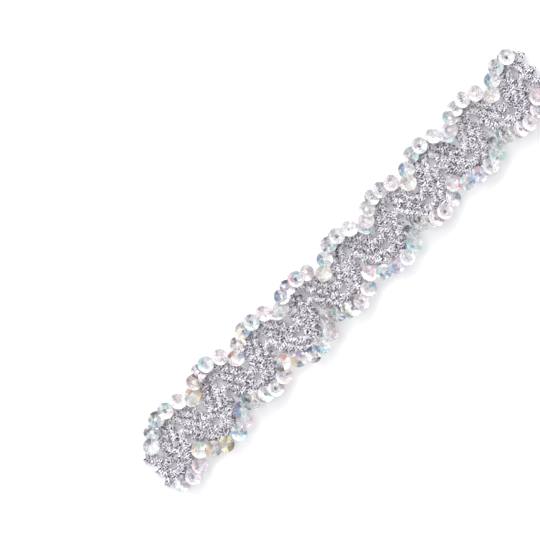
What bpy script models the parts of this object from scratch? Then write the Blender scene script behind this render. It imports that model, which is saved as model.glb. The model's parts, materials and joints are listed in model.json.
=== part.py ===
"""Sequin trim: a flat zigzag braid of three metallic cords, with a string of sequins sewn along each edge.

X runs along the trim, Y across it and Z up from the flat underside. The origin lies on the underside,
at mid length, under the middle cord. All sizes are in metres.
"""

import math
import random

import bmesh
import bpy
from mathutils import Matrix, Vector

MM = 0.001

# Braid: three cords side by side in one zigzag, touching on the slopes and parted at the turns
WAVE = 14.66 * MM
WAVES = 9
CORD_WIDTH = 1.86 * MM
CORD_STEP = 3.9 * MM
CORD_CROWN = 1.1 * MM
CORD_EDGE = 0.45 * MM
CROWN_SHARE = 0.27
CROWN_UNEVEN = 0.07 * MM
TURN_REACH = 5.1 * MM
TURN_RADIUS = 1.4 * MM
RIM_TURN_REACH = 3.8 * MM
RIM_TURN_RADIUS = 2.2 * MM
LEAST_GROOVE = 0.1 * MM
OPEN_GAP = 0.35 * MM
TURN_STATIONS = (0.0, 0.4 * MM, 0.9 * MM, 1.4 * MM, 2.05 * MM)

# Sequins: faceted cups on a thread
SEQUIN_RADIUS = 2.03 * MM
SEQUIN_FOOT = 0.93
SEQUIN_THICK = 0.3 * MM
SEQUIN_DIP = 0.28 * MM
SEQUIN_FACETS = 8
SEAT_GAP = 0.35 * MM
FLOOR_GAP = 0.15 * MM
THREAD_RADIUS = 0.24 * MM
LEAST_THREAD_HEIGHT = 1.9 * MM
END_MARGIN = 0.7 * MM

HALF_WAVE = WAVE / 2
HALF_LENGTH = WAVES * WAVE / 2
REPEAT = 2 * WAVE

# How the braid bends sideways where it lies: place along the trim, shift across it
BRAID_LIE = (
    (-66, 0.1),
    (-40, 0.25),
    (-24, 0.2),
    (0, 0.0),
    (16, 0.0),
    (40, 0.2),
    (66, 0.5),
)
UPPER_LIE = (
    (-66, 0.9),
    (-55, 0.6),
    (-40, 0.9),
    (-26, 0.5),
    (-11, -0.3),
    (3, 0.0),
    (18, 0.0),
    (33, 0.5),
    (66, 0.4),
)
LOWER_LIE = (
    (-66, 0.0),
    (-48, 0.0),
    (-33, 0.6),
    (-18, 0.0),
    (11, 0.0),
    (26, 0.5),
    (66, 0.6),
)

# One repeat of each string, two waves long. Along is measured from a low turn of the braid and across
# from its middle, in millimetres. A sequin leans down towards the bearing, in degrees from X to Y,
# and the lift raises one that lies on both of its neighbours.
UPPER_CHART = (
    {"along": -0.3, "across": 3.2, "bearing": -60, "lean": 9, "lift": 0.5},
    {"along": 2.1, "across": 5.5, "bearing": 215, "lean": 14, "lift": 0.0},
    {"along": 5.1, "across": 6.6, "bearing": -50, "lean": 15, "lift": 0.0},
    {"along": 8.2, "across": 6.8, "bearing": -10, "lean": 13, "lift": 0.0},
    {"along": 11.7, "across": 6.1, "bearing": 30, "lean": 24, "lift": 0.0},
    {"along": 13.3, "across": 3.7, "bearing": 35, "lean": 52, "lift": 0.0},
    {"along": 15.7, "across": 4.5, "bearing": -60, "lean": 12, "lift": 0.2},
    {"along": 17.8, "across": 6.3, "bearing": 15, "lean": 22, "lift": 0.0},
    {"along": 20.2, "across": 7.0, "bearing": 5, "lean": 34, "lift": 0.0},
    {"along": 22.9, "across": 6.9, "bearing": -15, "lean": 16, "lift": 0.0},
    {"along": 26.2, "across": 6.2, "bearing": -25, "lean": 14, "lift": 0.0},
)
LOWER_CHART = (
    {"along": 1.0, "across": -8.3, "bearing": 0, "lean": 12, "lift": 0.0},
    {"along": 4.45, "across": -7.6, "bearing": -10, "lean": 14, "lift": 0.0},
    {"along": 6.9, "across": -5.5, "bearing": 20, "lean": 11, "lift": 0.4},
    {"along": 9.7, "across": -7.0, "bearing": -70, "lean": 18, "lift": 0.0},
    {"along": 12.9, "across": -8.5, "bearing": 0, "lean": 16, "lift": 0.0},
    {"along": 16.3, "across": -8.8, "bearing": 0, "lean": 12, "lift": 0.1},
    {"along": 19.4, "across": -7.9, "bearing": -20, "lean": 14, "lift": 0.0},
    {"along": 20.9, "across": -5.7, "bearing": 10, "lean": 42, "lift": 0.0},
    {"along": 22.5, "across": -5.5, "bearing": 0, "lean": 62, "lift": 0.0},
    {"along": 24.1, "across": -6.4, "bearing": 10, "lean": 40, "lift": 0.0},
    {"along": 25.8, "across": -7.3, "bearing": 0, "lean": 48, "lift": 0.0},
    {"along": 27.6, "across": -7.6, "bearing": 5, "lean": 28, "lift": 0.0},
)
CHART_STRAY = 0.16 * MM
LEAN_STRAY = 5.0


def clear_scene():
    """Removes what the scene holds, so that only the trim is left in it."""
    for old in list(bpy.data.objects):
        bpy.data.objects.remove(old, do_unlink=True)


def lie(table, x):
    """The sideways shift at x, read smoothly between the rows of a table."""
    place = x / MM
    for (x0, y0), (x1, y1) in zip(table, table[1:]):
        if place <= x1:
            share = max(0.0, (place - x0) / (x1 - x0))
            return (y0 + (y1 - y0) * (3 - 2 * share) * share**2) * MM
    return table[-1][1] * MM


def zigzag(x, aside, low, high):
    """Height across the trim of a line that keeps a distance aside from a cord's middle line.

    low and high give the reach and the radius of the cord's low and high turns. Straight slopes
    join the round turns, and a line aside of the middle turns round the same centres.
    """
    low_reach, low_radius = low
    high_reach, high_radius = high
    rise = low_reach + high_reach - low_radius - high_radius
    slope = math.atan2(rise, HALF_WAVE)
    slope += math.asin((low_radius + high_radius) / math.hypot(rise, HALF_WAVE))
    inner = low_radius - aside
    outer = high_radius + aside
    from_low = x + WAVE / 4
    run = abs((from_low + HALF_WAVE) % WAVE - HALF_WAVE)
    low_end = inner * math.sin(slope)
    if run < low_end:
        return low_radius - low_reach - math.sqrt(inner**2 - run**2)
    if run > HALF_WAVE - outer * math.sin(slope):
        return high_reach - high_radius + math.sqrt(outer**2 - (HALF_WAVE - run) ** 2)
    return low_radius - low_reach - inner * math.cos(slope) + (run - low_end) * math.tan(slope)


def cord_edges(x):
    """Lower and upper edge of each cord at x, from the lowest cord to the highest."""
    turn = (TURN_REACH, TURN_RADIUS)
    rim_turn = (RIM_TURN_REACH, RIM_TURN_RADIUS)
    half = CORD_WIDTH / 2
    edges = []
    for place, low, high in ((-1, rim_turn, turn), (0, turn, turn), (1, turn, rim_turn)):
        middle = place * CORD_STEP + lie(BRAID_LIE, x)
        bottom = middle + zigzag(x, -half, low, high)
        top = middle + zigzag(x, half, low, high)
        if edges:
            bottom = max(bottom, edges[-1][1] + LEAST_GROOVE)
        edges.append((bottom, top))
    return edges


def braid_stations():
    """Places along the braid where its section is set, closer together at the turns."""
    stations = [-HALF_LENGTH]
    for turn in range(2 * WAVES):
        middle = -HALF_LENGTH + (turn + 0.5) * HALF_WAVE
        stations += [middle - d for d in reversed(TURN_STATIONS)]
        stations += [middle + d for d in TURN_STATIONS[1:]]
        stations.append(middle + HALF_WAVE / 2)
    return stations


def braid_section(x, chance):
    """Points across the braid at x: edge, crown, crown and edge of each cord."""
    points = []
    for bottom, top in cord_edges(x):
        inset = CROWN_SHARE * (top - bottom)
        crown = CORD_CROWN + chance.uniform(-CROWN_UNEVEN, 0)
        points += [(bottom, CORD_EDGE), (bottom + inset, crown), (top - inset, crown), (top, CORD_EDGE)]
    return points


def make_braid():
    """One flat-backed solid of the three ridged cords, cut through where they part at the turns."""
    chance = random.Random(7)
    stations = braid_stations()
    sections = [braid_section(x, chance) for x in stations]
    across = len(sections[0])
    bm = bmesh.new()
    bmesh.ops.create_grid(bm, x_segments=len(stations) - 1, y_segments=across - 1, size=1.0)
    columns = {}
    for vert in bm.verts:
        i = round((vert.co.x + 1) / 2 * (len(stations) - 1))
        j = round((vert.co.y + 1) / 2 * (across - 1))
        columns[vert] = (i, j)
        y, z = sections[i][j]
        vert.co = Vector((stations[i], y, z))

    def is_open(face):
        """True on a face that spans two cords where they stand apart."""
        places = [columns[v] for v in face.verts]
        low = min(j for _, j in places)
        if low % 4 != 3:
            return False
        gaps = [sections[i][low + 1][0] - sections[i][low][0] for i, _ in places]
        return sum(gaps) / len(gaps) > OPEN_GAP

    bmesh.ops.delete(bm, geom=[f for f in bm.faces if is_open(f)], context="FACES")
    made = bmesh.ops.extrude_face_region(bm, geom=bm.faces[:], use_keep_orig=True)
    for item in made["geom"]:
        if isinstance(item, bmesh.types.BMVert):
            item.co.z = 0.0
    bmesh.ops.recalc_face_normals(bm, faces=bm.faces[:])
    mesh = bpy.data.meshes.new("zigzag_braid")
    bm.to_mesh(mesh)
    bm.free()
    mesh.shade_smooth()
    mesh.set_sharp_from_angle(angle=math.radians(35))
    braid = bpy.data.objects.new("zigzag_braid", mesh)
    bpy.context.scene.collection.objects.link(braid)
    return braid


def over_cord(x, y):
    """True where a point lies over a cord or within the seat gap of one."""
    return any(bottom - SEAT_GAP < y < top + SEAT_GAP for bottom, top in cord_edges(x))


def seat_height(x, y, turn):
    """Height of a sequin's middle that keeps its underside clear of the cords and of the ground."""
    height = LEAST_THREAD_HEIGHT
    for ring in (1.0, 0.6):
        for k in range(2 * SEQUIN_FACETS):
            angle = math.pi * k / SEQUIN_FACETS
            spoke = Vector((math.cos(angle), math.sin(angle), 0)) * SEQUIN_RADIUS * ring
            point = turn @ (spoke - Vector((0, 0, SEQUIN_THICK / 2 + SEQUIN_DIP * (1 - ring))))
            covered = over_cord(x + point.x, y + point.y)
            floor = CORD_CROWN + SEAT_GAP if covered else FLOOR_GAP
            height = max(height, floor - point.z)
    return height


def sequin_places(chart, table, seed):
    """Place and lean of every sequin of a string, in order along the trim."""
    chance = random.Random(seed)
    places = []
    for repeat in range(-3, 3):
        for row in chart:
            x = row["along"] * MM + repeat * REPEAT - WAVE / 4 + chance.gauss(0, CHART_STRAY)
            y = row["across"] * MM + lie(table, x) + chance.gauss(0, CHART_STRAY)
            bearing = math.radians(row["bearing"] + chance.gauss(0, 2 * LEAN_STRAY))
            lean = math.radians(row["lean"] + chance.gauss(0, LEAN_STRAY))
            spin = chance.uniform(0, math.tau)
            if abs(x) > HALF_LENGTH - END_MARGIN:
                continue
            axis = Vector((-math.sin(bearing), math.cos(bearing), 0))
            turn = Matrix.Rotation(lean, 4, axis) @ Matrix.Rotation(spin, 4, "Z")
            height = seat_height(x, y, turn) + row["lift"] * MM
            places.append((Vector((x, y, height)), turn))
    return sorted(places, key=lambda place: place[0].x)


def sequin_mesh():
    """A shallow cup with flat facets, closed over its small hole."""
    bm = bmesh.new()
    bmesh.ops.create_cone(
        bm,
        cap_ends=True,
        cap_tris=True,
        segments=SEQUIN_FACETS,
        radius1=SEQUIN_RADIUS * SEQUIN_FOOT,
        radius2=SEQUIN_RADIUS,
        depth=SEQUIN_THICK,
    )
    for vert in bm.verts:
        if vert.co.xy.length < SEQUIN_RADIUS / 2:
            vert.co.z -= SEQUIN_DIP
    mesh = bpy.data.meshes.new("cup_sequin")
    bm.to_mesh(mesh)
    bm.free()
    return mesh


def thread_mesh(places):
    """The thread that the sequins are strung on, as a thin tube from sequin to sequin."""
    curve = bpy.data.curves.new("thread", "CURVE")
    curve.dimensions = "3D"
    curve.bevel_depth = THREAD_RADIUS
    curve.bevel_resolution = 0
    curve.use_fill_caps = True
    spline = curve.splines.new("POLY")
    spline.points.add(len(places) - 1)
    for point, (middle, _) in zip(spline.points, places):
        point.co = (*middle, 1)
    guide = bpy.data.objects.new("thread_guide", curve)
    bpy.context.scene.collection.objects.link(guide)
    graph = bpy.context.evaluated_depsgraph_get()
    mesh = bpy.data.meshes.new_from_object(guide.evaluated_get(graph))
    bpy.data.objects.remove(guide, do_unlink=True)
    return mesh


def make_sequin_string(name, chart, table, seed):
    """One solid of a thread and its overlapping sequins."""
    places = sequin_places(chart, table, seed)
    cup = sequin_mesh()
    cups = bpy.data.collections.new(name + "_cups")
    bpy.context.scene.collection.children.link(cups)
    for number, (middle, turn) in enumerate(places):
        helper = bpy.data.objects.new(f"{name}_cup_{number}", cup)
        helper.matrix_world = Matrix.Translation(middle) @ turn
        helper.hide_render = True
        helper.display_type = "WIRE"
        cups.objects.link(helper)
    string = bpy.data.objects.new(name, thread_mesh(places))
    bpy.context.scene.collection.objects.link(string)
    joined = string.modifiers.new("sequins", "BOOLEAN")
    joined.operation = "UNION"
    joined.operand_type = "COLLECTION"
    joined.collection = cups
    joined.solver = "EXACT"
    return string


def finish(obj, colour, roughness, metallic):
    """Gives a piece its own plain material."""
    material = bpy.data.materials.new(obj.name)
    material.use_nodes = True
    surface = material.node_tree.nodes["Principled BSDF"]
    surface.inputs["Base Color"].default_value = (*colour, 1.0)
    surface.inputs["Roughness"].default_value = roughness
    surface.inputs["Metallic"].default_value = metallic
    obj.data.materials.append(material)


def main():
    """Builds the braid and its two strings of sequins."""
    clear_scene()
    finish(make_braid(), (0.56, 0.54, 0.58), 0.45, 0.7)
    upper = make_sequin_string("sequin_string_upper", UPPER_CHART, UPPER_LIE, 11)
    finish(upper, (0.86, 0.84, 0.86), 0.2, 0.8)
    lower = make_sequin_string("sequin_string_lower", LOWER_CHART, LOWER_LIE, 12)
    finish(lower, (0.86, 0.84, 0.86), 0.2, 0.8)


main()
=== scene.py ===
# %% [markdown]
# # Sequin trim
# A narrow trim for the edges of dresses and costumes. Three cords bound from metallised film lie side by
# side in one zigzag and make the braid. A string of small cup sequins is sewn in scallops along each edge.
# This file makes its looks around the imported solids, which hold its sizes. Each step first says what the
# piece is on the real trim, and then builds it.

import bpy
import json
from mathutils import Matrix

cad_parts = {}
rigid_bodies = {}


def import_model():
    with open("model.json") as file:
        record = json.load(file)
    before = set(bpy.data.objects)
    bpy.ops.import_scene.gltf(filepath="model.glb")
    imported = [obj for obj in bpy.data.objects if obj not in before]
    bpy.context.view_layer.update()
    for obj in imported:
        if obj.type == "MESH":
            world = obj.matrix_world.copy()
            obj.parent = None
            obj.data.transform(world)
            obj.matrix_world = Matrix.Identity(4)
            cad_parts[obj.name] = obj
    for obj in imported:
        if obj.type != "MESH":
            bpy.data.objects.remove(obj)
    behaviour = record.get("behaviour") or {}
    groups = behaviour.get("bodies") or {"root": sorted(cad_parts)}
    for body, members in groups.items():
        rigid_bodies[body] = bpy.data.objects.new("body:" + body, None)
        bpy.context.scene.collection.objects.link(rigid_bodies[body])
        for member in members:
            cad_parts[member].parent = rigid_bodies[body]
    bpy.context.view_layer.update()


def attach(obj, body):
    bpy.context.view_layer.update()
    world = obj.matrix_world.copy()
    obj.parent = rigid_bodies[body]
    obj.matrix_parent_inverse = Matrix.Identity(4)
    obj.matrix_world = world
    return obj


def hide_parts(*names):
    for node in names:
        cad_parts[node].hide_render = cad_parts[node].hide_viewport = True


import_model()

# %% [markdown]
# ## Sizes of the trim
# X runs along the trim, Y across it and Z up. The wave of the braid, the step from cord to cord, and the
# reach and radius of the rim turns are those of the solids. Inside the braid the turns differ a little,
# because the soft yarns fill out their corners. The two outer cords turn lower and rounder at the edges than
# the middle one does, because the strings of sequins hold them down there.

# %% Sizes of the trim
import json
import math
import random

import bmesh
import bpy
from mathutils import Matrix, Vector

MM = 0.001
WAVE = 14.66 * MM
WAVES = 9
HALF_WAVE = WAVE / 2
HALF_LENGTH = WAVES * WAVE / 2
REPEAT = 2 * WAVE
CORD_WIDTH = 1.86 * MM
CORD_STEP = 3.9 * MM
CORD_CROWN = 1.1 * MM
TURN = (5.1 * MM, 2.0 * MM)
INNER_TURN = (4.5 * MM, 1.3 * MM)
RIM_TURN = (3.8 * MM, 2.2 * MM)
LEAST_GROOVE = 0.1 * MM
CORDS = {
    "cord_lower": (-1, RIM_TURN, INNER_TURN),
    "cord_middle": (0, TURN, INNER_TURN),
    "cord_upper": (1, TURN, RIM_TURN),
}
print("braid", round(2 * HALF_LENGTH / MM, 1), "mm long in", WAVES, "waves")

# %% [markdown]
# ## How it lies
# A trim laid down by hand is never straight. Short tables say how far the braid and each string of sequins
# stray sideways, in millimetres, and a smooth step joins their rows.

# %% How it lies
BRAID_LIE = ((-66, 0.1), (-40, 0.25), (-24, 0.2), (0, 0.0), (16, 0.0), (40, 0.2), (66, 0.5))
UPPER_LIE = (
    (-66, 0.9), (-55, 0.6), (-40, 0.9), (-26, 0.5), (-11, -0.3), (3, 0.0), (18, 0.0), (33, 0.5), (66, 0.4),
)
LOWER_LIE = ((-66, 0.0), (-48, 0.0), (-33, 0.6), (-18, 0.0), (11, 0.0), (26, 0.5), (66, 0.6))


def lie(table, x):
    """The sideways shift at x, read smoothly between the rows of a table."""
    place = x / MM
    for (x0, y0), (x1, y1) in zip(table, table[1:]):
        if place <= x1:
            share = max(0.0, (place - x0) / (x1 - x0))
            return (y0 + (y1 - y0) * (3 - 2 * share) * share**2) * MM
    return table[-1][1] * MM


def zigzag(x, aside, low, high):
    """Height across the trim of a line a distance aside of a cord's middle line, which turns round arcs."""
    low_reach, low_radius = low
    high_reach, high_radius = high
    rise = low_reach + high_reach - low_radius - high_radius
    slope = math.atan2(rise, HALF_WAVE)
    slope += math.asin((low_radius + high_radius) / math.hypot(rise, HALF_WAVE))
    inner = low_radius - aside
    outer = high_radius + aside
    run = abs((x + WAVE / 4 + HALF_WAVE) % WAVE - HALF_WAVE)
    low_end = inner * math.sin(slope)
    if run < low_end:
        return low_radius - low_reach - math.sqrt(inner**2 - run**2)
    if run > HALF_WAVE - outer * math.sin(slope):
        return high_reach - high_radius + math.sqrt(outer**2 - (HALF_WAVE - run) ** 2)
    return low_radius - low_reach - inner * math.cos(slope) + (run - low_end) * math.tan(slope)


def cord_edges(x):
    """Lower and upper edge of each cord at x, from the lowest cord to the highest."""
    edges = []
    for place, low, high in CORDS.values():
        middle = place * CORD_STEP + lie(BRAID_LIE, x)
        bottom = middle + zigzag(x, -CORD_WIDTH / 2, low, high)
        top = middle + zigzag(x, CORD_WIDTH / 2, low, high)
        if edges:
            bottom = max(bottom, edges[-1][1] + LEAST_GROOVE)
        edges.append((bottom, top))
    return edges


# %% [markdown]
# ## Helpers for pieces
# Every finished piece is one mesh object at the origin, with its place in its mesh. These helpers turn a
# bmesh into such a piece, and sweep a small section along many lines at once. A curve does the sweep, as it
# carries the twist and the size of a tape at each of its points.

# %% Helpers for pieces
scene_objects = bpy.context.scene.collection.objects


def piece_of(bm, name):
    """A mesh object from a bmesh, its faces left flat so that each facet of film glints by itself."""
    mesh = bpy.data.meshes.new(name)
    bm.to_mesh(mesh)
    bm.free()
    piece = bpy.data.objects.new(name, mesh)
    scene_objects.link(piece)
    return piece


def closed_section(name, points):
    """A small closed curve that other curves take as their cross-section."""
    curve = bpy.data.curves.new(name, "CURVE")
    curve.dimensions = "2D"
    spline = curve.splines.new("POLY")
    spline.points.add(len(points) - 1)
    for point, (x, y) in zip(spline.points, points):
        point.co = (x, y, 0, 1)
    spline.use_cyclic_u = True
    section = bpy.data.objects.new(name, curve)
    scene_objects.link(section)
    return section


def oval_points(half, sides):
    """Points round an oval of two half widths, for a section with some number of sides."""
    turns = [math.tau * k / sides for k in range(sides)]
    return [(half[0] * math.cos(turn), half[1] * math.sin(turn)) for turn in turns]


def sweep(lines, section):
    """A mesh of lines of (place, turn, size) points swept with a section, closed at their ends."""
    curve = bpy.data.curves.new("sweep", "CURVE")
    curve.dimensions = "3D"
    curve.bevel_mode = "OBJECT"
    curve.bevel_object = section
    curve.use_fill_caps = True
    for line in lines:
        spline = curve.splines.new("POLY")
        spline.points.add(len(line) - 1)
        for point, (place, turn, size) in zip(spline.points, line):
            point.co = (*place, 1)
            point.tilt = turn
            point.radius = size
    guide = bpy.data.objects.new("sweep", curve)
    scene_objects.link(guide)
    mesh = bpy.data.meshes.new_from_object(guide.evaluated_get(bpy.context.evaluated_depsgraph_get()))
    bpy.data.objects.remove(guide, do_unlink=True)
    return mesh


# %% [markdown]
# ## The metallic cords
# Each cord is a soft core bound with thin yarns of metallised film. Six yarns wind to the left and six to
# the right, crossing over and under, and they twist and crumple as they go, so each short stretch of film
# faces its own way. That is what glitters. A normal map on a smooth tube would show the colour but not the
# lumpy outline, so the yarns are real: flat tapes swept along helices, with a chance twist at every point.
# Beside each turn the inner yarns are tucked into the corner, so the gap there is a slit and not a wide vee.

# %% Middle line of a cord
LINE_STEP = 0.05 * MM
BEND_REACH = 1.5 * MM
LEG_REACH = 4.0 * MM


def bends_within(sides, reach):
    """How sharply the line turns within a number of steps to either side of each point."""
    bends = []
    for i in range(len(sides)):
        before, after = sides[max(i - reach, 0)], sides[min(i + reach, len(sides) - 1)]
        bends.append(before.x * after.y - before.y * after.x)
    return bends


def cord_line(place, low, high, step):
    """Points, sideways directions, bends and legs at even steps along a cord's middle line."""
    count = round(2 * HALF_LENGTH / LINE_STEP)
    dense = []
    for i in range(count + 1):
        x = -HALF_LENGTH + i * LINE_STEP
        dense.append(Vector((x, place * CORD_STEP + lie(BRAID_LIE, x) + zigzag(x, 0, low, high))))
    line = [dense[0]]
    for point in dense:
        if (point - line[-1]).length >= step:
            line.append(point)
    sides = []
    for before, after in zip([line[0], *line], [*line[1:], line[-1]]):
        ahead = (after - before).normalized()
        sides.append(Vector((-ahead.y, ahead.x)))
    bends = bends_within(sides, round(BEND_REACH / step))
    wide = bends_within(sides, round(LEG_REACH / step))
    legs = [far - near for far, near in zip(wide, bends)]
    return line, sides, bends, legs


# %% Yarns of a cord
YARN_STEP = 0.24 * MM
YARNS_EACH_WAY = 6
YARN_PITCH = 3.4 * MM
YARN_ROUND = (0.9 * MM, 0.54 * MM)
CORD_MIDDLE = 0.7 * MM
CORE_ROUND = (0.7 * MM, 0.42 * MM)
CORE_SIDES = 8
YARN_WEAVE = 0.07 * MM
YARN_STRAY = 0.08 * MM
TURN_SHIFT = -0.1 * MM
TURN_SPREAD = 0.22
OUTER_SHIFT = 0.32 * MM
OUTER_SPREAD = 0.32
LEG_TUCK = 0.4 * MM
TAPE_HALF = (0.2 * MM, 0.05 * MM)
LEAST_YARN_HEIGHT = 0.25 * MM
TWIST_STRAY = 1.1
TAPE_SIZE = (0.7, 1.25)
# The core's value paints it near black, as painted shade between the yarns.
CORE_PAINTED_SHADE = 0.1


def yarn_lines(outer, line, sides, bends, legs, chance):
    """The yarns wound round one cord, half of them each way, as (place, turn, size) points."""
    lines = []
    for way in (-1, 1):
        for number in range(YARNS_EACH_WAY):
            yarn = []
            turn = chance.uniform(0, math.pi)
            for i, (middle, side, bend, leg) in enumerate(zip(line, sides, bends, legs)):
                angle = math.tau * (way * i * YARN_STEP / YARN_PITCH + number / YARNS_EACH_WAY)
                lift = way * YARN_WEAVE * math.sin(YARNS_EACH_WAY * angle)
                flank = outer * (1 - min(abs(bend), 1))
                half = (YARN_ROUND[0] + lift) * (1 + TURN_SPREAD * bend + OUTER_SPREAD * abs(flank))
                across = half * math.cos(angle) + TURN_SHIFT * bend + OUTER_SHIFT * flank
                across += LEG_TUCK * leg * max(math.copysign(math.cos(angle), leg * math.cos(angle)), 0)
                across += chance.gauss(0, YARN_STRAY)
                height = CORD_MIDDLE + (YARN_ROUND[1] + lift) * math.sin(angle)
                spot = middle + side * across
                height = max(height + chance.gauss(0, YARN_STRAY), LEAST_YARN_HEIGHT)
                turn += chance.gauss(0, TWIST_STRAY)
                yarn.append((Vector((spot.x, spot.y, height)), turn, chance.uniform(*TAPE_SIZE)))
            lines.append(yarn)
    return lines


# %% Build the cords
def cord_piece(name, seed):
    """One cord: its core and its yarns in one mesh, with a value for each facet of film that sets its
    painted glint or painted shade.
    """
    chance = random.Random(seed)
    line, sides, bends, legs = cord_line(*CORDS[name], YARN_STEP)
    core = [(Vector((p.x, p.y, CORD_MIDDLE)), 0.0, 1.0) for p in line[::2]]
    bm = bmesh.new()
    bm.from_mesh(sweep([core], core_section))
    core_faces = len(bm.faces)
    bm.from_mesh(sweep(yarn_lines(CORDS[name][0], line, sides, bends, legs, chance), tape_section))
    # Yarn facets take a chance value for a painted glint or a painted dark reflection; the core takes
    # painted shade.
    painted_glint_and_shade = bm.faces.layers.float.new("painted_glint_and_shade")
    for number, face in enumerate(bm.faces):
        face[painted_glint_and_shade] = CORE_PAINTED_SHADE if number < core_faces else chance.random()
    bmesh.ops.recalc_face_normals(bm, faces=bm.faces[:])
    piece = piece_of(bm, name)
    print(name, "line", round(len(line) * YARN_STEP / MM), "mm,", len(piece.data.polygons), "faces")
    return piece


tape_section = closed_section(
    "tape_section",
    [(TAPE_HALF[0], 0), (0, TAPE_HALF[1]), (-TAPE_HALF[0], 0), (0, -TAPE_HALF[1])],
)
core_section = closed_section("core_section", oval_points(CORE_ROUND, CORE_SIDES))
CORD_SEED = 20
cords = [cord_piece(name, CORD_SEED + number) for number, name in enumerate(CORDS)]

# %% [markdown]
# ## The cup sequins
# A cup sequin is punched from thin metallised film and pressed into a shallow cup with flat facets round a
# small hole. It is built from three circles: the rim, the crease and the hole. bridge_loops joins them, the
# inner band is split into triangles by turning the hole half a step, and solidify gives the film its body.

# %% One cup sequin
SEQUIN_RADIUS = 2.03 * MM
CREASE_RADIUS = 1.28 * MM
HOLE_RADIUS = 0.5 * MM
RIM_RISE = 0.4 * MM
CREASE_RISE = 0.13 * MM
FILM = 0.07 * MM
FACETS = 12


def ring(bm, radius, rise, turn):
    """A circle of edges at a height, turned by an angle."""
    place = Matrix.Translation((0, 0, rise)) @ Matrix.Rotation(turn, 4, "Z")
    made = bmesh.ops.create_circle(bm, cap_ends=False, radius=radius, segments=FACETS, matrix=place)
    return list(dict.fromkeys(edge for vert in made["verts"] for edge in vert.link_edges))


def cup_mesh():
    """The film of one sequin, closed, with its hole in the middle."""
    bm = bmesh.new()
    step = math.tau / FACETS
    rim = ring(bm, SEQUIN_RADIUS, RIM_RISE, 0)
    crease = ring(bm, CREASE_RADIUS, CREASE_RISE, 0)
    hole = ring(bm, HOLE_RADIUS, 0, step / 2)
    bmesh.ops.bridge_loops(bm, edges=rim + crease)
    inner = bmesh.ops.bridge_loops(bm, edges=crease + hole)["faces"]
    bmesh.ops.triangulate(bm, faces=inner)
    cut = bmesh.ops.subdivide_edges(bm, edges=rim, cuts=1)
    for item in cut["geom_inner"]:
        if isinstance(item, bmesh.types.BMVert):
            item.co.xy *= SEQUIN_RADIUS / item.co.xy.length
    bmesh.ops.recalc_face_normals(bm, faces=bm.faces[:])
    bmesh.ops.solidify(bm, geom=bm.faces[:], thickness=FILM)
    bmesh.ops.recalc_face_normals(bm, faces=bm.faces[:])
    mesh = bpy.data.meshes.new("cup")
    bm.to_mesh(mesh)
    bm.free()
    return mesh


cup = cup_mesh()
print("one sequin has", len(cup.polygons), "faces")

# %% [markdown]
# ## Where the sequins lie
# The strings repeat every two waves, so one chart of a repeat is enough for each. Along is measured from a
# low turn of the braid and across from its middle. A sequin leans down towards its bearing, and the lift
# raises one that lies on both of its neighbours.

# %% Charts of the two strings, as along, across, bearing, lean and lift
UPPER_CHART = (
    (-0.3, 3.2, -60, 9, 0.5),
    (2.1, 5.5, 215, 14, 0.0),
    (5.1, 7.0, -50, 15, 0.0),
    (8.2, 7.0, -10, 13, 0.0),
    (11.7, 6.2, 30, 24, 0.0),
    (13.3, 3.7, 35, 52, 0.0),
    (15.7, 4.5, -60, 12, 0.2),
    (17.8, 6.3, 15, 22, 0.0),
    (20.2, 7.3, 5, 34, 0.0),
    (22.9, 7.2, -15, 16, 0.0),
    (26.2, 6.3, -25, 14, 0.0),
)
LOWER_CHART = (
    (1.0, -8.3, 0, 12, 0.0),
    (4.45, -7.6, -10, 14, 0.0),
    (6.9, -5.2, 20, 11, 0.4),
    (9.7, -7.0, -70, 18, 0.0),
    (12.9, -8.5, 0, 16, 0.0),
    (16.3, -8.8, 0, 12, 0.1),
    (19.4, -7.9, -20, 14, 0.0),
    (20.9, -5.7, 10, 42, 0.0),
    (22.5, -5.5, 0, 62, 0.0),
    (24.1, -6.4, 10, 40, 0.0),
    (25.8, -7.3, 0, 48, 0.0),
    (27.6, -7.6, 5, 28, 0.0),
)

# %% Place every sequin
SEAT_GAP = 0.05 * MM
FLOOR_GAP = 0.1 * MM
SEQUIN_THICK = 0.3 * MM
SEQUIN_DIP = 0.28 * MM
SEAT_FACETS = 8
SEAT_RINGS = (1.0, 0.6)
LEAST_THREAD_HEIGHT = 1.1 * MM
END_MARGIN = 0.7 * MM
CHART_STRAY = 0.16 * MM
LEAN_STRAY = 5.0
BEARING_STRAY = 10.0


def over_cord(x, y):
    """True where a point lies over a cord or within the seat gap of one."""
    return any(bottom - SEAT_GAP < y < top + SEAT_GAP for bottom, top in cord_edges(x))


def seat_height(x, y, turn):
    """Height of a sequin's middle that keeps its underside clear of the cords and of the ground."""
    height = LEAST_THREAD_HEIGHT
    for share in SEAT_RINGS:
        for k in range(2 * SEAT_FACETS):
            angle = math.pi * k / SEAT_FACETS
            spoke = Vector((math.cos(angle), math.sin(angle), 0)) * SEQUIN_RADIUS * share
            point = turn @ (spoke - Vector((0, 0, SEQUIN_THICK / 2 + SEQUIN_DIP * (1 - share))))
            covered = over_cord(x + point.x, y + point.y)
            floor = CORD_CROWN + SEAT_GAP if covered else FLOOR_GAP
            height = max(height, floor - point.z)
    return height


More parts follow.
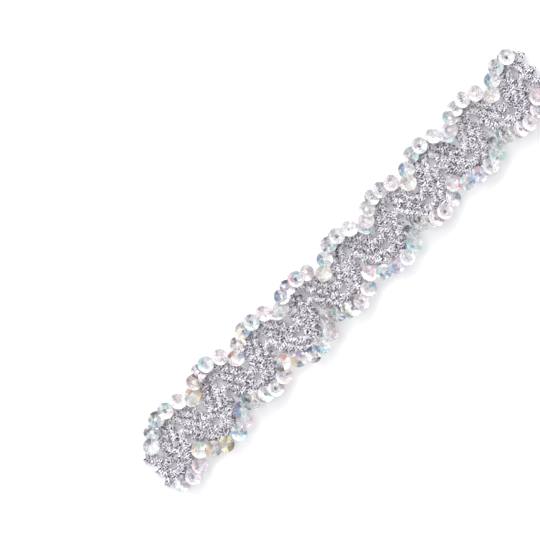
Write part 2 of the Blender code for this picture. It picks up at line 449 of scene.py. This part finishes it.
def sequin_places(chart, looks, table, seed):
    """Place, turn and film look of every sequin of a string, in order along the trim."""
    chance = random.Random(seed)
    places = []
    for repeat, part in PART_OF_REPEAT.items():
        for number, (along, across, bearing, lean, lift) in enumerate(chart):
            x = along * MM + repeat * REPEAT - WAVE / 4 + chance.gauss(0, CHART_STRAY)
            y = across * MM + lie(table, x) + chance.gauss(0, CHART_STRAY)
            bearing = math.radians(bearing + chance.gauss(0, BEARING_STRAY))
            lean = math.radians(lean + chance.gauss(0, LEAN_STRAY))
            spin = chance.uniform(0, math.tau)
            if abs(x) > HALF_LENGTH - END_MARGIN:
                continue
            axis = Vector((-math.sin(bearing), math.cos(bearing), 0))
            turn = Matrix.Rotation(lean, 4, axis) @ Matrix.Rotation(spin, 4, "Z")
            height = seat_height(x, y, turn) + lift * MM
            places.append((Vector((x, y, height)), turn, looks[part][number]))
    return sorted(places, key=lambda place: place[0].x)


# %% [markdown]
# ## The film's colours and painted reflections
# The film is coated so that it turns from white to blush, aqua, blue or gold with the slant of the light,
# and its facets mirror the tent. Here that is painted. A level facet stays pale, and splashes of painted
# reflection sit on
# facets that tilt away from the light: the strong tints of the coating, and greys, navy and brown for facets
# that mirror the dim tent. So each sequin has a film colour and a few splashes, each on the side given by
# its bearing.
# The right half of the trim is paler, and the left half, which lies at another slant, shows more of the
# strong painted colours. The colour is kept on the corners of the faces, so a painted reflection fades
# within its facet.

# %% Films and painted reflections of the two strings
PART_OF_REPEAT = {-3: "middle", -2: "left", -1: "middle", 0: "right", 1: "right", 2: "right"}
UPPER_LOOKS = {
    "right": (
        ("cream", ("peach", 140)),
        ("white", ("blue", 120), ("slate", 165), ("aqua", 190)),
        ("white", ("smoke", 95), ("slate", 220), ("aqua", -60)),
        ("white", ("cream", 0)),
        ("white",),
        ("white", ("aqua", -60)),
        ("blush", ("lilac", 170), ("cream", -60)),
        ("white", ("aqua", 130), ("gold", 20)),
        ("white", ("smoke", 180), ("frost", 60)),
        ("white", ("lilac", 80), ("frost", 20)),
        ("blush", ("peach", 90)),
    ),
    "middle": (
        ("blush", ("red", 110), ("blue", -20)),
        ("cream", ("brown", 110), ("smoke", 210), ("smoke", 300)),
        ("cream", ("smoke", 100), ("gold", 170), ("blue", -70)),
        ("frost", ("lilac", 80)),
        ("blush",),
        ("white", ("rose", 70)),
        ("white", ("slate", 210)),
        ("white", ("slate", 130), ("blue", 170)),
        ("white", ("smoke", 160), ("slate", 230), ("navy", 60)),
        ("white", ("lilac", 90), ("rose", 140), ("aqua", 20)),
        ("blush", ("peach", 90)),
    ),
    "left": (
        ("white", ("slate", 60)),
        ("white", ("slate", 140), ("smoke", 90), ("slate", -40)),
        ("white", ("aqua", 140), ("brown", 60), ("slate", 200)),
        ("cream", ("slate", 130), ("aqua", 50)),
        ("blush", ("lilac", 60), ("frost", -80)),
        ("blush", ("frost", 120), ("orange", 10)),
        ("white", ("orange", 95), ("lemon", -80), ("orange", -20)),
        ("cream", ("rose", 130), ("lemon", 60), ("brown", -70)),
        ("lilac", ("smoke", 130), ("brown", 190), ("rose", -70)),
        ("frost", ("aqua", 130), ("lilac", 40)),
        ("blush", ("cream", -90)),
    ),
}
LOWER_LOOKS = {
    "right": (
        ("blush", ("lilac", 200)),
        ("blush", ("lilac", 60), ("blue", -10)),
        ("blush", ("rose", 120), ("rose", 0), ("red", -80)),
        ("white", ("aqua", 130), ("slate", 200), ("blue", -60)),
        ("lilac", ("blue", 160), ("rose", 60), ("smoke", -120)),
        ("white", ("blush", -60)),
        ("frost", ("aqua", 160), ("mint", -60)),
        ("white", ("brown", 90), ("frost", -90)),
        ("frost", ("navy", 0), ("aqua", 90)),
        ("white", ("brown", 80), ("mint", -30)),
        ("cream", ("mint", -20)),
        ("blush", ("lilac", 90)),
    ),
    "middle": (
        ("white", ("smoke", -30)),
        ("blush", ("lilac", 150), ("slate", 10), ("peach", -80)),
        ("cream", ("navy", 150), ("brown", 200), ("red", 20)),
        ("cream", ("red", 100), ("violet", 50), ("gold", 190), ("slate", 230)),
        ("white", ("navy", 90), ("brown", 230), ("brown", -80)),
        ("white", ("aqua", -120), ("blue", 170)),
        ("blush", ("rose", 0)),
        ("white", ("blush", 120)),
        ("blush", ("brown", 0)),
        ("white", ("aqua", 200), ("mint", 100), ("blue", -80)),
        ("cream", ("mint", 190)),
        ("white", ("mint", 200), ("smoke", 40)),
    ),
    "left": (
        ("blush", ("lilac", 90)),
        ("blush", ("rose", 150), ("lilac", -60)),
        ("cream", ("gold", 110), ("mint", 50), ("brown", -60)),
        ("cream", ("brown", 90), ("gold", 150), ("rose", 200), ("slate", -70)),
        ("lemon", ("brown", -70), ("smoke", 140)),
        ("frost", ("blue", 120), ("navy", -40), ("aqua", -90)),
        ("blush", ("lilac", 100), ("rose", -60)),
        ("frost", ("blue", 180), ("violet", 100)),
        ("frost", ("aqua", 90), ("brown", 230)),
        ("white", ("brown", 110)),
        ("cream",),
        ("white", ("aqua", -60)),
    ),
}
FILM_AND_REFLECTION_COLOURS = {
    "white": (0.90, 0.90, 0.92),
    "cream": (0.93, 0.90, 0.87),
    "frost": (0.83, 0.90, 0.92),
    "blush": (0.92, 0.86, 0.90),
    "peach": (0.91, 0.79, 0.75),
    "rose": (0.82, 0.58, 0.62),
    "lilac": (0.78, 0.73, 0.86),
    "aqua": (0.48, 0.82, 0.84),
    "mint": (0.50, 0.72, 0.62),
    "blue": (0.25, 0.42, 0.66),
    "slate": (0.30, 0.36, 0.45),
    "navy": (0.07, 0.13, 0.30),
    "violet": (0.38, 0.29, 0.54),
    "smoke": (0.40, 0.36, 0.42),
    "brown": (0.17, 0.12, 0.13),
    "gold": (0.90, 0.74, 0.46),
    "orange": (0.86, 0.56, 0.42),
    "red": (0.64, 0.32, 0.30),
    "lemon": (0.92, 0.89, 0.62),
}
# Stray colours are painted reflections, put on facets at random.
STRAY_COLOURS = ("frost", "lilac", "peach", "cream", "smoke", "aqua")

UPPER_SEED = 11
LOWER_SEED = 12
upper_places = sequin_places(UPPER_CHART, UPPER_LOOKS, UPPER_LIE, UPPER_SEED)
lower_places = sequin_places(LOWER_CHART, LOWER_LOOKS, LOWER_LIE, LOWER_SEED)
print(len(upper_places), "sequins above and", len(lower_places), "below")

# %% Colour the facets
# The splashes are painted reflections: how wide they spread, how often a facet takes one, how strong at rim,
# crease and hole, and how often a stray one falls.
SPLASH_HALF_ANGLE = 34
SPLASH_HOLD = 0.8
SPLASH_STRENGTH = (0.65, 1.0)
SPLASH_AT_RIM = 1.0
SPLASH_AT_CREASE = 0.9
SPLASH_AT_HOLE = 0.5
STRAY_SHARE = 0.08
# Painted shade: each facet's film colour and painted reflection are darkened at random, as facets that catch
# less light.
FACET_SHADE = (0.66, 1.0)


def facet_colours(look, bearing, chance):
    """Film colour, painted reflection colour and strength of one facet, by the painted reflection nearest to
    its bearing.
    """
    film, *painted_reflections = look
    name = film
    for tint, side in painted_reflections:
        if abs((bearing - side + 180) % 360 - 180) < SPLASH_HALF_ANGLE and chance.random() < SPLASH_HOLD:
            name = tint
    if chance.random() < STRAY_SHARE:
        name = chance.choice(STRAY_COLOURS)
    shade = chance.uniform(*FACET_SHADE)
    film_colour = Vector(FILM_AND_REFLECTION_COLOURS[film]) * shade
    painted_reflection_colour = Vector(FILM_AND_REFLECTION_COLOURS[name]) * shade
    return film_colour, painted_reflection_colour, chance.uniform(*SPLASH_STRENGTH)


def corner_colour(colours, reach):
    """The facet's colour at one corner: the painted reflection is strongest at the outer end of the facet.
    """
    film_colour, painted_reflection_colour, strength = colours
    if reach > (SEQUIN_RADIUS + CREASE_RADIUS) / 2:
        share = SPLASH_AT_RIM
    elif reach > (CREASE_RADIUS + HOLE_RADIUS) / 2:
        share = SPLASH_AT_CREASE
    else:
        share = SPLASH_AT_HOLE
    return (*film_colour.lerp(painted_reflection_colour, share * strength), 1.0)


def string_piece(name, places, seed):
    """All the cups of one string in one mesh, each facet with its own film colour and painted reflection."""
    chance = random.Random(seed)
    bm = bmesh.new()
    # The "film" colour on each corner holds the film colour with its painted reflection and painted shade.
    film = bm.loops.layers.float_color.new("film")
    for middle, turn, look in places:
        first = len(bm.faces)
        bm.from_mesh(cup)
        bm.faces.ensure_lookup_table()
        faces = bm.faces[first:]
        colours = {}
        for face in faces:
            centre = face.calc_center_median()
            sector = int(math.atan2(centre.y, centre.x) % math.tau / (math.tau / FACETS))
            facet = (centre.xy.length > CREASE_RADIUS, sector)
            if facet not in colours:
                across = turn @ centre
                bearing = math.degrees(math.atan2(across.y, across.x))
                colours[facet] = facet_colours(look, bearing, chance)
            for loop in face.loops:
                loop[film] = corner_colour(colours[facet], loop.vert.co.xy.length)
        place = Matrix.Translation(middle) @ turn
        verts = list(dict.fromkeys(vert for face in faces for vert in face.verts))
        bmesh.ops.transform(bm, matrix=place, verts=verts)
    piece = piece_of(bm, name)
    print(name, len(places), "sequins,", len(piece.data.polygons), "faces")
    return piece


UPPER_FILM_SEED = 31
LOWER_FILM_SEED = 32
upper_cups = string_piece("cups_upper", upper_places, UPPER_FILM_SEED)
lower_cups = string_piece("cups_lower", lower_places, LOWER_FILM_SEED)

# %% [markdown]
# ## The thread
# The sequins hang on one thread. It runs beneath the cups, comes up through each hole, crosses the film and
# goes down beside the rim under the next cup. The crossing is the small stitch that shows on every sequin.

# %% Thread of a string
THREAD_RADIUS = 0.05 * MM
THREAD_SIDES = 6
STITCH_RISE = 0.1 * MM
STITCH_START = 0.1 * MM


def thread_line(places):
    """The thread's way up through each hole, over the film and down under the next cup."""
    line = []
    for (middle, turn, *_), (beyond, *_) in zip(places, places[1:]):
        up = turn.to_3x3() @ Vector((0, 0, 1))
        ahead = beyond - middle
        ahead = (ahead - up * ahead.dot(up)).normalized()
        rise = STITCH_RISE + FILM
        line.append(middle - up * 2 * rise)
        line.append(middle + up * rise + ahead * STITCH_START)
        line.append(middle + up * (rise + CREASE_RISE) + ahead * CREASE_RADIUS)
        line.append(middle + up * (rise + RIM_RISE) + ahead * SEQUIN_RADIUS)
        line.append(beyond - Vector((0, 0, 3 * rise)))
    return [(point, 0.0, 1.0) for point in line]


def thread_piece(name, places):
    """One thread as a thin round tube, shaded smooth."""
    bm = bmesh.new()
    bm.from_mesh(sweep([thread_line(places)], thread_section))
    bmesh.ops.recalc_face_normals(bm, faces=bm.faces[:])
    piece = piece_of(bm, name)
    piece.data.shade_smooth()
    print(name, len(piece.data.polygons), "faces")
    return piece


thread_section = closed_section("thread_section", oval_points((THREAD_RADIUS, THREAD_RADIUS), THREAD_SIDES))
upper_thread = thread_piece("thread_upper", upper_places)
lower_thread = thread_piece("thread_lower", lower_places)
for section in (tape_section, core_section, thread_section):
    bpy.data.objects.remove(section, do_unlink=True)

# %% [markdown]
# ## Film finish
# Metallised film is used twice on this trim, crumpled in the yarns and pressed flat in the sequins. Both
# have fine wrinkles and small cells that throw the light their own way, so one node group makes them. It
# puts out a value for each cell, which the materials use for roughness and for painted glints in the colour,
# and a bent normal for the wrinkles.

# %% Film group
WRINKLE_DEPTH = 0.05 * MM
FILM_CELLS_PER_M = 2600.0


def film_group():
    """A node group for crinkled film: cells with their own value, for painted glints and roughness, and fine
    wrinkles.
    """
    group = bpy.data.node_groups.new("film cells", "ShaderNodeTree")
    for name, default in (("Cells per m", FILM_CELLS_PER_M), ("Wrinkle", 0.2)):
        socket = group.interface.new_socket(name, in_out="INPUT", socket_type="NodeSocketFloat")
        socket.default_value = default
    group.interface.new_socket("Cell", in_out="OUTPUT", socket_type="NodeSocketFloat")
    group.interface.new_socket("Normal", in_out="OUTPUT", socket_type="NodeSocketVector")
    nodes, links = group.nodes, group.links
    given = nodes.new("NodeGroupInput")
    place = nodes.new("ShaderNodeTexCoord")
    cells = nodes.new("ShaderNodeTexVoronoi")
    noise = nodes.new("ShaderNodeTexNoise")
    noise.inputs["Detail"].default_value = 2.0
    bump = nodes.new("ShaderNodeBump")
    bump.inputs["Distance"].default_value = WRINKLE_DEPTH
    apart = nodes.new("ShaderNodeSeparateColor")
    put = nodes.new("NodeGroupOutput")
    links.new(place.outputs["Object"], cells.inputs["Vector"])
    links.new(given.outputs["Cells per m"], cells.inputs["Scale"])
    links.new(place.outputs["Object"], noise.inputs["Vector"])
    links.new(given.outputs["Cells per m"], noise.inputs["Scale"])
    links.new(cells.outputs["Color"], apart.inputs["Color"])
    links.new(noise.outputs["Fac"], bump.inputs["Height"])
    links.new(given.outputs["Wrinkle"], bump.inputs["Strength"])
    links.new(apart.outputs["Red"], put.inputs["Cell"])
    links.new(bump.outputs["Normal"], put.inputs["Normal"])
    return group


film_cells = film_group()
print("film group has", len(film_cells.nodes), "nodes")

# %% [markdown]
# ## Materials
# The yarn film is silver. Its facets are painted from nearly black through grey to white, by the chance
# value that each facet carries and by small cells: painted dark reflections of the dim tent and painted
# glints. The core is painted near black, as painted shade between the yarns. The sequin film is paler and
# glossier, and takes its tint from the facet's colour, which holds the film's colour with painted
# reflections and painted shade.

# %% Helpers for materials
def new_material(name, metallic, roughness):
    """A material with its surface node, and the two settings that are the same all over it."""
    material = bpy.data.materials.new(name)
    material.use_nodes = True
    surface = material.node_tree.nodes["Principled BSDF"]
    surface.inputs["Metallic"].default_value = metallic
    surface.inputs["Roughness"].default_value = roughness
    return material, material.node_tree.nodes, material.node_tree.links, surface


def add_film(nodes, cells_per_m, wrinkle):
    """Places the film group in a material with its own values."""
    film = nodes.new("ShaderNodeGroup")
    film.node_tree = film_cells
    film.inputs["Cells per m"].default_value = cells_per_m
    film.inputs["Wrinkle"].default_value = wrinkle
    return film


def ramp(nodes, stops):
    """A colour ramp with the given (place, colour) stops."""
    node = nodes.new("ShaderNodeValToRGB")
    node.color_ramp.interpolation = "LINEAR"
    elements = node.color_ramp.elements
    while len(elements) < len(stops):
        elements.new(1.0)
    for element, (place, colour) in zip(elements, stops):
        element.position = place
        element.color = (*colour, 1.0)
    return node


# %% Yarn film
# Share of the cells' painted glints in the yarn colour.
CELL_SHARE = 0.65


def yarn_film():
    """Silver film of the cords, painted facet by facet from black to white, as painted dark reflections and
    painted glints.
    """
    material, nodes, links, surface = new_material("yarn film", 0.3, 0.35)
    painted_glint_and_shade = nodes.new("ShaderNodeAttribute")
    painted_glint_and_shade.attribute_name = "painted_glint_and_shade"
    # The ramp paints reflections: near black for facets that would mirror the dim tent, white for painted
    # glints.
    shades = ramp(
        nodes,
        [
            (0.00, (0.02, 0.02, 0.03)),
            (0.16, (0.03, 0.03, 0.04)),
            (0.20, (0.44, 0.41, 0.48)),
            (0.44, (0.76, 0.72, 0.81)),
            (0.58, (1.0, 0.98, 1.0)),
            (1.00, (1.0, 1.0, 1.0)),
        ],
    )
    film = add_film(nodes, FILM_CELLS_PER_M, 0.4)
    both = nodes.new("ShaderNodeMix")
    both.inputs["Factor"].default_value = CELL_SHARE
    shine = nodes.new("ShaderNodeMapRange")
    shine.inputs["To Min"].default_value = 0.18
    shine.inputs["To Max"].default_value = 0.5
    links.new(painted_glint_and_shade.outputs["Fac"], both.inputs["A"])
    links.new(film.outputs["Cell"], both.inputs["B"])
    links.new(both.outputs["Result"], shades.inputs["Fac"])
    links.new(shades.outputs["Color"], surface.inputs["Base Color"])
    links.new(film.outputs["Cell"], shine.inputs["Value"])
    links.new(shine.outputs["Result"], surface.inputs["Roughness"])
    links.new(film.outputs["Normal"], surface.inputs["Normal"])
    return material


yarn_material = yarn_film()
print(yarn_material.name, "has", len(yarn_material.node_tree.nodes), "nodes")


# %% Sequin film
def sequin_film():
    """Rainbow film of the sequins: the facet's colour, with its painted reflections, broken by small cells
    of painted glint.
    """
    material, nodes, links, surface = new_material("sequin film", 0.35, 0.2)
    # The "film" colour holds painted reflections and painted shade as well as the film's own colour.
    tint = nodes.new("ShaderNodeAttribute")
    tint.attribute_name = "film"
    film = add_film(nodes, FILM_CELLS_PER_M, 0.15)
    # Each small cell is painted a little lighter or darker, as a painted glint.
    shade = nodes.new("ShaderNodeMapRange")
    shade.inputs["To Min"].default_value = 0.78
    shade.inputs["To Max"].default_value = 1.08
    mixed = nodes.new("ShaderNodeVectorMath")
    mixed.operation = "SCALE"
    shine = nodes.new("ShaderNodeMapRange")
    shine.inputs["To Min"].default_value = 0.12
    shine.inputs["To Max"].default_value = 0.34
    links.new(tint.outputs["Color"], mixed.inputs[0])
    links.new(film.outputs["Cell"], shade.inputs["Value"])
    links.new(shade.outputs["Result"], mixed.inputs["Scale"])
    links.new(mixed.outputs["Vector"], surface.inputs["Base Color"])
    links.new(film.outputs["Cell"], shine.inputs["Value"])
    links.new(shine.outputs["Result"], surface.inputs["Roughness"])
    links.new(film.outputs["Normal"], surface.inputs["Normal"])
    return material


sequin_material = sequin_film()
print(sequin_material.name, "has", len(sequin_material.node_tree.nodes), "nodes")

# %% Thread finish
TWISTS_PER_M = 1500.0
TWIST_DEPTH = 0.03 * MM


def thread_finish():
    """Pale silky thread with its twist as a fine bump."""
    material, nodes, links, surface = new_material("silky thread", 0.0, 0.45)
    surface.inputs["Base Color"].default_value = (0.86, 0.84, 0.87, 1.0)
    place = nodes.new("ShaderNodeTexCoord")
    twist = nodes.new("ShaderNodeTexWave")
    twist.inputs["Scale"].default_value = TWISTS_PER_M
    bump = nodes.new("ShaderNodeBump")
    bump.inputs["Distance"].default_value = TWIST_DEPTH
    links.new(place.outputs["Object"], twist.inputs["Vector"])
    links.new(twist.outputs["Fac"], bump.inputs["Height"])
    links.new(bump.outputs["Normal"], surface.inputs["Normal"])
    return material


thread_material = thread_finish()
print(thread_material.name, "has", len(thread_material.node_tree.nodes), "nodes")

# %% Hand the pieces over
def hand_over(piece, material, slot, *nodes):
    """Gives a piece its material and its body, and hides the solids that it stands for. The slot is not
    used.
    """
    piece.data.materials.append(material)
    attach(piece, "root")
    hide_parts(*nodes)


for cord in cords:
    hand_over(cord, yarn_material, "metallic_cord", "zigzag_braid")
hand_over(upper_cups, sequin_material, "sequin_film", "sequin_string_upper")
hand_over(upper_thread, thread_material, "sequin_film", "sequin_string_upper")
hand_over(lower_cups, sequin_material, "sequin_film", "sequin_string_lower")
hand_over(lower_thread, thread_material, "sequin_film", "sequin_string_lower")
print(len(cords) + 4, "pieces handed over")

# %% [markdown]
# ## Studio
# The trim lies on a plain white ground, in a tent of light. A bright band runs low round the tent, brighter
# on the far side, and the tent is dim above it. Tilted facets mirror the band and glint, while the ground in
# the gaps of the braid sees only the dim part and stays grey. A weak key light on the far side adds glints.

# %% Ground
GROUND_HALF = 1.5
bm = bmesh.new()
bmesh.ops.create_grid(bm, x_segments=1, y_segments=1, size=GROUND_HALF)
ground = piece_of(bm, "ground")
ground_material, _, _, ground_surface = new_material("white ground", 0.0, 0.9)
ground_surface.inputs["Base Color"].default_value = (0.93, 0.93, 0.94, 1.0)
ground.data.materials.append(ground_material)
print("ground is", 2 * GROUND_HALF, "m wide")

# %% Sky
SKY_STRENGTH = 2.4
NEAR_AND_FAR_GAIN = (0.6, 1.4)
world = bpy.data.worlds.new("sky")
bpy.context.scene.world = world
world.use_nodes = True
sky_nodes, sky_links = world.node_tree.nodes, world.node_tree.links
sky = sky_nodes["Background"]
sky.inputs["Strength"].default_value = SKY_STRENGTH
way = sky_nodes.new("ShaderNodeTexCoord")
apart = sky_nodes.new("ShaderNodeSeparateXYZ")
height = ramp(
    sky_nodes,
    [
        (0.0, (0.6, 0.6, 0.61)),
        (0.2, (1.0, 1.0, 1.0)),
        (0.5, (1.0, 1.0, 1.0)),
        (0.6, (0.16, 0.16, 0.17)),
        (0.82, (0.16, 0.16, 0.17)),
        (0.94, (0.5, 0.5, 0.5)),
    ],
)
far_side = sky_nodes.new("ShaderNodeMapRange")
far_side.inputs["From Min"].default_value = -1.0
far_side.inputs["To Min"].default_value, far_side.inputs["To Max"].default_value = NEAR_AND_FAR_GAIN
leaning = sky_nodes.new("ShaderNodeVectorMath")
leaning.operation = "SCALE"
sky_links.new(way.outputs["Generated"], apart.inputs["Vector"])
sky_links.new(apart.outputs["Z"], height.inputs["Fac"])
sky_links.new(apart.outputs["Y"], far_side.inputs["Value"])
sky_links.new(height.outputs["Color"], leaning.inputs[0])
sky_links.new(far_side.outputs["Result"], leaning.inputs["Scale"])
sky_links.new(leaning.outputs["Vector"], sky.inputs["Color"])
print("sky strength", SKY_STRENGTH, "with gains", NEAR_AND_FAR_GAIN)

# %% Lights
KEY_PLACE = (0.02, 0.52, 0.34)
KEY_SIZE = (0.6, 0.3)
KEY_WATTS = 2.0


def area_light(name, place, size, watts, colour):
    """A soft light of some width and height that faces the trim."""
    lamp = bpy.data.lights.new(name, "AREA")
    lamp.shape = "RECTANGLE"
    lamp.size, lamp.size_y = size
    lamp.energy = watts
    lamp.color = colour
    light = bpy.data.objects.new(name, lamp)
    scene_objects.link(light)
    light.location = place
    light.rotation_euler = (-Vector(place)).to_track_quat("-Z", "Y").to_euler()
    return light


area_light("key", KEY_PLACE, KEY_SIZE, KEY_WATTS, (1.0, 0.99, 0.98))
print("key light", KEY_WATTS, "W")

# %% [markdown]
# ## Camera
# The photograph looks straight down. Its frame is 540 pixels wide and the scale is 0.24 mm a pixel, and the
# trim runs up to the right at 46.2 degrees.

# %% Camera
FRAME_PX = 540
MM_PER_PX = 0.24
TRIM_ANGLE = math.radians(46.2)
ORIGIN_PX = (344.4, 269.3)
CAMERA_HEIGHT = 0.6
SENSOR = 36.0

right = (FRAME_PX / 2 - ORIGIN_PX[0]) * MM_PER_PX * MM
down = (FRAME_PX / 2 - ORIGIN_PX[1]) * MM_PER_PX * MM
centre_x = right * math.cos(TRIM_ANGLE) - down * math.sin(TRIM_ANGLE)
centre_y = -right * math.sin(TRIM_ANGLE) - down * math.cos(TRIM_ANGLE)
lens = bpy.data.cameras.new("overhead")
lens.sensor_width = SENSOR
lens.lens = SENSOR * CAMERA_HEIGHT / (FRAME_PX * MM_PER_PX * MM)
lens.clip_start = 0.01
camera = bpy.data.objects.new("overhead", lens)
scene_objects.link(camera)
camera.location = (centre_x, centre_y, CAMERA_HEIGHT)
camera.rotation_euler = (0, 0, -TRIM_ANGLE)
bpy.context.scene.camera = camera
bpy.context.scene.view_settings.view_transform = "Standard"
print("camera over", round(centre_x / MM, 1), round(centre_y / MM, 1), "mm")
